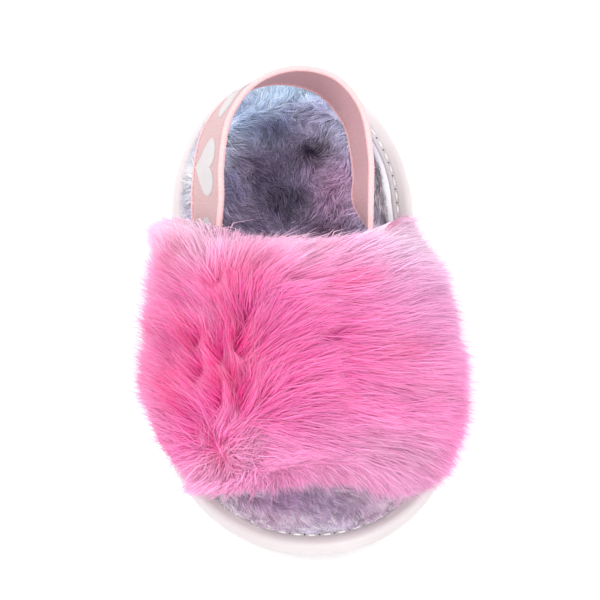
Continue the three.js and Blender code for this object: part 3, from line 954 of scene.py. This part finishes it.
def sole_profile():
    """Insets and heights across the sole's wall, from the tread up, over the rim and into the tray."""
    turn = np.linspace(0, math.pi / 2, 7)
    profile = []
    for step in turn:
        lift = BOTTOM_EDGE * (1 - math.cos(step))
        profile.append((BOTTOM_EDGE * (1 - math.sin(step)), lambda y, a=lift: underside(y) + a))
    for share in np.linspace(0, 1, 9)[1:-1]:
        swell = -WALL_BULGE * math.sin(math.pi * share) * 0.98
        profile.append((swell, lambda y, s=share: mix(underside(y) + BOTTOM_EDGE, rim(y) - TOP_EDGE, s)))
    for step in turn:
        profile.append((TOP_EDGE * (1 - math.cos(step)), below_rim(TOP_EDGE * (1 - math.sin(step)))))
    for step in np.linspace(0, math.pi, 9):
        inset = STITCH_INSET - CHANNEL_WIDTH / 2 * math.cos(step)
        profile.append((inset, below_rim(CHANNEL_DEPTH * math.sin(step))))
    profile.append((RIM_WIDTH - TRAY_EDGE, rim))
    return profile + [(RIM_WIDTH, below_rim(drop)) for drop in (TRAY_EDGE, RECESS_DEPTH)]


def groove_box(y):
    """The space that a groove takes from the tread."""
    reach = half_width(y) - GROOVE_MARGIN
    points = [
        (swing(y) + aside * reach, y + ahead * GROOVE_WIDTH / 2, up * GROOVE_DEPTH)
        for up in (-1, 1)
        for ahead in (-1, 1)
        for aside in (-1, 1)
    ]
    return points, [(0, 2, 3, 1), (4, 5, 7, 6), (0, 1, 5, 4), (2, 6, 7, 3), (0, 4, 6, 2), (1, 3, 7, 5)]


def add_sole(material):
    around = 360
    rings = [outline_ring(around, inset, height) for inset, height in sole_profile()]
    sole = add_object("sole", np.vstack(rings), stack_faces(len(rings), around), material, "sole_rubber")
    boxes = []
    for middle, count in GROOVE_ROWS:
        boxes += [groove_box(middle + (k - (count - 1) / 2) * GROOVE_PITCH) for k in range(count)]
    tool = new_object(new_mesh("tread_cutter", *join_shapes(boxes)))
    cut = sole.modifiers.new("tread", "BOOLEAN")
    cut.operation = "DIFFERENCE"
    cut.solver = "EXACT"
    cut.object = tool
    bpy.context.view_layer.update()
    carved = bpy.data.meshes.new_from_object(sole.evaluated_get(bpy.context.evaluated_depsgraph_get()))
    sole.modifiers.clear()
    sole.data = carved
    bpy.data.objects.remove(tool)
    carved.shade_smooth()
    carved.set_sharp_from_angle(angle=math.radians(42))
    return sole


def add_sole_stitches(thread, hole_shade):
    around = 720
    line = outline_ring(around, STITCH_INSET, rim)
    perimeter = np.linalg.norm(np.diff(np.vstack([line, line[:1]]), axis=0), axis=1).sum()
    count = round(perimeter / STITCH_PITCH)
    places = even_steps(line, count * STITCH_STEPS, closed=True)
    up = np.array([0, 0, 1.0])
    threads, holes = [], []
    for first in range(0, len(places), STITCH_STEPS):
        hole, start, end, before, after = (places[(first + k) % len(places)] for k in (0, 4, 16, -2, 2))
        threads.append(capsule(start - up * 0.06, end - up * 0.06, up, 0.5, 0.3))
        # Each needle hole is a dark capsule sunk just under the rim: painted shade in the hole.
        ends = (mix(hole, near_by, 0.65) - up * 0.07 for near_by in (before, after))
        holes.append(capsule(*ends, up, 0.4, 0.16))
    add_object("sole_stitches", *join_shapes(threads), thread, "sole_rubber")
    add_object("sole_needle_hole_shade", *join_shapes(holes), hole_shade, "sole_rubber")


# ---- heel strap
def catmull_rom(points, per_span=24):
    """A centripetal Catmull-Rom curve through points, as a dense line."""
    points = np.vstack([2 * points[0] - points[1], points, 2 * points[-1] - points[-2]])
    line = []
    for p0, p1, p2, p3 in zip(points, points[1:], points[2:], points[3:]):
        d0, d1, d2 = (math.sqrt(np.linalg.norm(b - a)) for a, b in ((p0, p1), (p1, p2), (p2, p3)))
        leave = ((p1 - p0) / d0 - (p2 - p0) / (d0 + d1) + (p2 - p1) / d1) * d1
        arrive = ((p2 - p1) / d1 - (p3 - p1) / (d1 + d2) + (p3 - p2) / d2) * d1
        t = np.linspace(0, 1, per_span, endpoint=False)[:, None]
        line.append(mix(p1, p2, ease(0, 1, t)) + t * (1 - t) * ((1 - t) * leave - t * arrive))
    line.append(points[-2:-1])
    return np.vstack(line)


def angle_at_height(height, y):
    angles = np.linspace(0, math.pi / 2, 2000)
    rise = inside_of_band(angles, np.full_like(angles, y))[:, 2]
    return float(np.interp(height, rise - rise[0], angles))


def strap_edge(height, sewn_inner, sewn_outer, half, centre, start, setback):
    """One edge of the strap as a dense line, from its +X end round the heel to its -X end."""
    rear = float(band_rear(angle_at_height(height, BAND_REAR_SIDE)))

    def sewn(side, length):
        points = []
        for share in (0, 0.5, 1):
            y = rear - STRAP_OVERLAP + share * length
            angle = angle_at_height(height, y)
            gap = CLEARANCE + STRAP_THICKNESS * 0.6
            point = inside_of_band(angle, y) - band_normal(angle, y) * gap
            middle = float(swing(y))
            points.append((middle + (middle - point[0]) * side, point[1], point[2]))
        return points

    reach = HEEL_BACK - setback - start
    ground = float(rim(rear)) + CLEARANCE + height
    power = 2 / LOOP_SQUARENESS
    loop = []
    for turn in np.linspace(0, math.pi, 7):
        back = reach * max(0, math.sin(turn)) ** power
        aside = half * math.copysign(abs(math.cos(turn)) ** power, math.cos(turn))
        loop.append((centre + aside + STRAP_SKEW * back, start + back, ground + STRAP_RISE * math.sin(turn)))

    def straight(side):
        return (centre + side * half - STRAP_SKEW * STRAP_STRAIGHT, start - STRAP_STRAIGHT, ground)

    points = [*sewn(1, sewn_inner), straight(1), *loop, straight(-1), *sewn(-1, sewn_outer)[::-1]]
    return catmull_rom(np.array(points))


STRAP_STEPS = 420
strap_low = even_steps(strap_edge(**LOW_EDGE), STRAP_STEPS + 1, closed=False)
strap_high = even_steps(strap_edge(**HIGH_EDGE), STRAP_STEPS + 1, closed=False)
strap_up = unit(strap_high - strap_low)
strap_out = unit(np.cross(np.gradient(strap_low + strap_high, axis=0), strap_up))
strap_width = float(np.linalg.norm(strap_high - strap_low, axis=1).mean())
strap_middle = (strap_low + strap_high) / 2
strap_length = float(np.linalg.norm(np.diff(strap_middle, axis=0), axis=1).sum())


def on_strap(along, across, out):
    """Points at distances along the strap from its +X end, from its lower edge up and out from its middle."""
    place = np.clip(np.asarray(along) / strap_length, 0, 1) * STRAP_STEPS
    steps = np.arange(STRAP_STEPS + 1)

    def at(table):
        return np.stack([np.interp(place, steps, table[:, k]) for k in range(3)], axis=-1)

    low, high = at(strap_low), at(strap_high)
    share = (np.asarray(across) / strap_width)[..., None]
    return mix(low, high, share) + unit(at(strap_out)) * np.asarray(out)[..., None]


def add_strap(material):
    """Ribbed elastic with a folded, beaded edge at the top and the bottom."""
    half = STRAP_THICKNESS / 2
    edge = 1.5
    flat = np.linspace(edge, strap_width - edge, 15)
    turn = np.linspace(-math.pi / 2, math.pi / 2, 9)[1:-1]
    body = half * 0.72
    outer = [(w, body) for w in flat]
    seam = [(strap_width - 1.25, body * 0.62), (strap_width - 1.0, half * 0.9)]
    bead = [(strap_width - 0.62 + 0.6 * math.cos(t), -half * 0.98 * math.sin(t)) for t in turn]
    top = [*seam, *bead, *[(w, -d) for w, d in seam[::-1]]]
    inner = [(w, -body) for w in flat[::-1]]
    bottom = [(strap_width - w, -d) for w, d in top]
    profile = np.array([*outer, *top, *inner, *bottom])
    along = np.linspace(0, strap_length, STRAP_STEPS + 1)[:, None]
    across = np.broadcast_to(profile[None, :, 0], (STRAP_STEPS + 1, len(profile)))
    middle = np.abs(profile[:, 0] / strap_width - 0.5) < 0.5 - edge / strap_width
    rib = 0.02 * np.sin(along * 2 * math.pi / 0.95) * middle[None]
    knot = 0.07 * np.abs(np.sin(along * math.pi / 1.15)) * (~middle)[None]
    out = profile[None, :, 1] + np.sign(profile[None, :, 1]) * (rib - knot)
    points = on_strap(np.broadcast_to(along, across.shape), across, out)
    faces = tube_faces(STRAP_STEPS + 1, len(profile))
    strap = add_object("strap_elastic", points.reshape(-1, 3), faces, material, "strap_elastic")
    face = linear(194, 160, 162)
    back = linear(206, 158, 164)
    bead_colour = linear(238, 190, 192)
    shade = np.where(profile[:, 1:] > 0, face, back)
    off_middle = np.abs(profile[:, :1] - strap_width / 2)
    shade = mix(shade, bead_colour, ease(strap_width / 2 - 1.3, strap_width / 2 - 0.9, off_middle))
    set_dye_and_shade(strap.data, np.tile(shade, (STRAP_STEPS + 1, 1)))
    return strap


def strap_material():
    """Elastic whose dye is broken up by a fine weave."""
    material, shader = new_material("pink_elastic", {"Roughness": 0.75, "Sheen Weight": 0.2})
    blend = node_beside(shader, "Mix")
    blend.data_type = "RGBA"
    blend.blend_type = "MULTIPLY"
    blend.inputs["Factor"].default_value = 1
    weave = noise_node(shader, 2600, 2)
    toned(weave, [(0.84, 0.8, 0.8), (1, 1, 1)], blend.inputs["B"])
    link(dye_and_shade_node(shader).outputs["Color"], blend.inputs["A"])
    link(blend.outputs["Result"], shader.inputs["Base Color"])
    bumpy(shader, weave, 0.5, 0.12)
    return material


HEART_LENGTH = 14.2
HEART_WIDTH = 13.4
HEART_PITCH = 19.4
HEART_COUNT = 7
HEART_HEIGHT = strap_width * 0.42
HEARTS_START = strap_length * 0.735 + 1.5 - 5 * HEART_PITCH


def add_hearts(material, rings=6, around=56):
    """White hearts printed along the outside of the strap, notch to its upper edge."""
    turn = np.linspace(0, 2 * math.pi, around, endpoint=False)
    x = np.sin(turn) ** 3 / 2
    y = (13 * np.cos(turn) - 5 * np.cos(2 * turn) - 2 * np.cos(3 * turn) - np.cos(4 * turn)) / 16
    shares = np.linspace(0, 1, rings + 1)[1:, None]
    aside = np.r_[0, (shares * x).ravel()]
    up = np.r_[0, (shares * (y + 0.16) / 2).ravel()]
    faces = [(0, 1 + j, 1 + (j + 1) % around) for j in range(around)]
    faces += [tuple(1 + v for v in face) for face in loft_faces(rings, around)]
    across = np.clip(HEART_HEIGHT + up * HEART_WIDTH, 1.4, strap_width - 1.6)
    out = np.full(len(up), STRAP_THICKNESS / 2 * 0.72 + 0.06)
    shapes = []
    for k in range(HEART_COUNT):
        shapes.append((on_strap(HEARTS_START + k * HEART_PITCH - aside * HEART_LENGTH, across, out), faces))
    add_object("strap_hearts", *join_shapes(shapes), material, "strap_elastic")


def add_strap_stitches(thread):
    shapes = []
    pitch = 1.5
    inset = 1.12
    stitch = 0.95
    for across in (inset, strap_width - inset):
        for side in (-1, 1):
            out = side * STRAP_THICKNESS / 2 * 0.66
            for along in np.arange(1, strap_length - 1, pitch):
                places = [along, along + stitch, along]
                start, end, above = on_strap(places, [across] * 3, [out, out, out + side])
                shapes.append(capsule(start, end, above - start, 0.26, 0.24, rings=4, around=6))
    add_object("strap_stitches", *join_shapes(shapes), thread, "strap_elastic")


# ---- the shoe
rubber = rubber_material()
sole_thread = plain_material("white_thread", linear(234, 230, 230), 0.7)
# Painted shade for the needle holes.
hole_shade_material = plain_material("needle_hole_shade", linear(92, 82, 88), 0.9)
heart_print = plain_material("white_print", linear(192, 188, 190), 0.7, uneven=0.03)
strap_thread = plain_material("pink_thread", linear(238, 168, 176), 0.7)
fur_material = dye_and_shade_material("faux_fur", 0.6, 0.2, glow=0.4)
plush_material = dye_and_shade_material("plush_pile", 0.65, 0.2, glow=0.3)
lining_material = dye_and_shade_material("band_lining", 0.9, 0.4, 900)
board_material = dye_and_shade_material("footbed_cloth", 0.9, 0.3, 900)

sole = add_sole(rubber)
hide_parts("outsole")
add_sole_stitches(sole_thread, hole_shade_material)

footbed = add_footbed(board_material)
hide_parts("insole")
add_plush("plush_heel", 46000, 4, HEEL_BACK, 6.6, plush_material)
add_plush("plush_middle", 5000, -38, 5, 7, plush_material)
add_plush("plush_toe", 24000, TOE_TIP, -37, 5.5, plush_material)

wall = add_band_wall(lining_material)
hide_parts("fur_band")
add_fur(fur_material)

strap = add_strap(strap_material())
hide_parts("heel_strap")
add_strap_stitches(strap_thread)
add_hearts(heart_print)

# ---- floor, light and camera
VIEW_ELEVATION = math.radians(70)
VIEW_ROLL = math.radians(4.2)
VIEW_DISTANCE = 0.9
VIEW_SPAN = 0.142  # width of what the camera sees at the shoe


def add_floor():
    mesh = bpy.data.meshes.new("floor")
    half = 3
    corners = [(-half, -half, 0), (half, -half, 0), (half, half, 0), (-half, half, 0)]
    mesh.from_pydata(corners, [], [(0, 1, 2, 3)])
    floor = new_object(mesh)
    mesh.materials.append(plain_material("white_floor", (0.93, 0.925, 0.925), 0.8, 40, 0.02, 0.004))


def add_light(name, place, size, power):
    lamp = bpy.data.lights.new(name, "AREA")
    lamp.energy = power
    lamp.size = size
    holder = new_object(lamp)
    holder.location = place
    holder.rotation_euler = (-Vector(place)).to_track_quat("-Z", "Y").to_euler()


def add_camera():
    low, high = cad_box
    middle = Vector((0, (low[1] + high[1]) / 2, 0.014))
    back = Vector((0, -math.cos(VIEW_ELEVATION), math.sin(VIEW_ELEVATION)))
    lens = bpy.data.cameras.new("camera")
    lens.lens = lens.sensor_width * VIEW_DISTANCE / VIEW_SPAN
    lens.clip_end = 20
    camera = new_object(lens)
    turn = back.to_track_quat("Z", "Y").to_matrix() @ Matrix.Rotation(-VIEW_ROLL, 3, "Z")
    camera.matrix_world = Matrix.Translation(middle + back * VIEW_DISTANCE) @ turn.to_4x4()
    bpy.context.scene.camera = camera


def add_surroundings():
    world = bpy.data.worlds.new("studio")
    world.use_nodes = True
    sky = world.node_tree.nodes["Background"]
    sky.inputs["Color"].default_value = (1, 0.99, 0.99, 1)
    sky.inputs["Strength"].default_value = 0.87
    scene = bpy.context.scene
    scene.world = world
    scene.view_settings.view_transform = "Standard"


add_floor()
add_surroundings()
add_light("softbox_left", (-0.7, 0.35, 1.1), 0.9, 12)
add_light("softbox_front", (0.3, -0.8, 0.9), 0.8, 7)
add_light("softbox_right", (0.85, 0.3, 0.8), 0.8, 4)
add_camera()
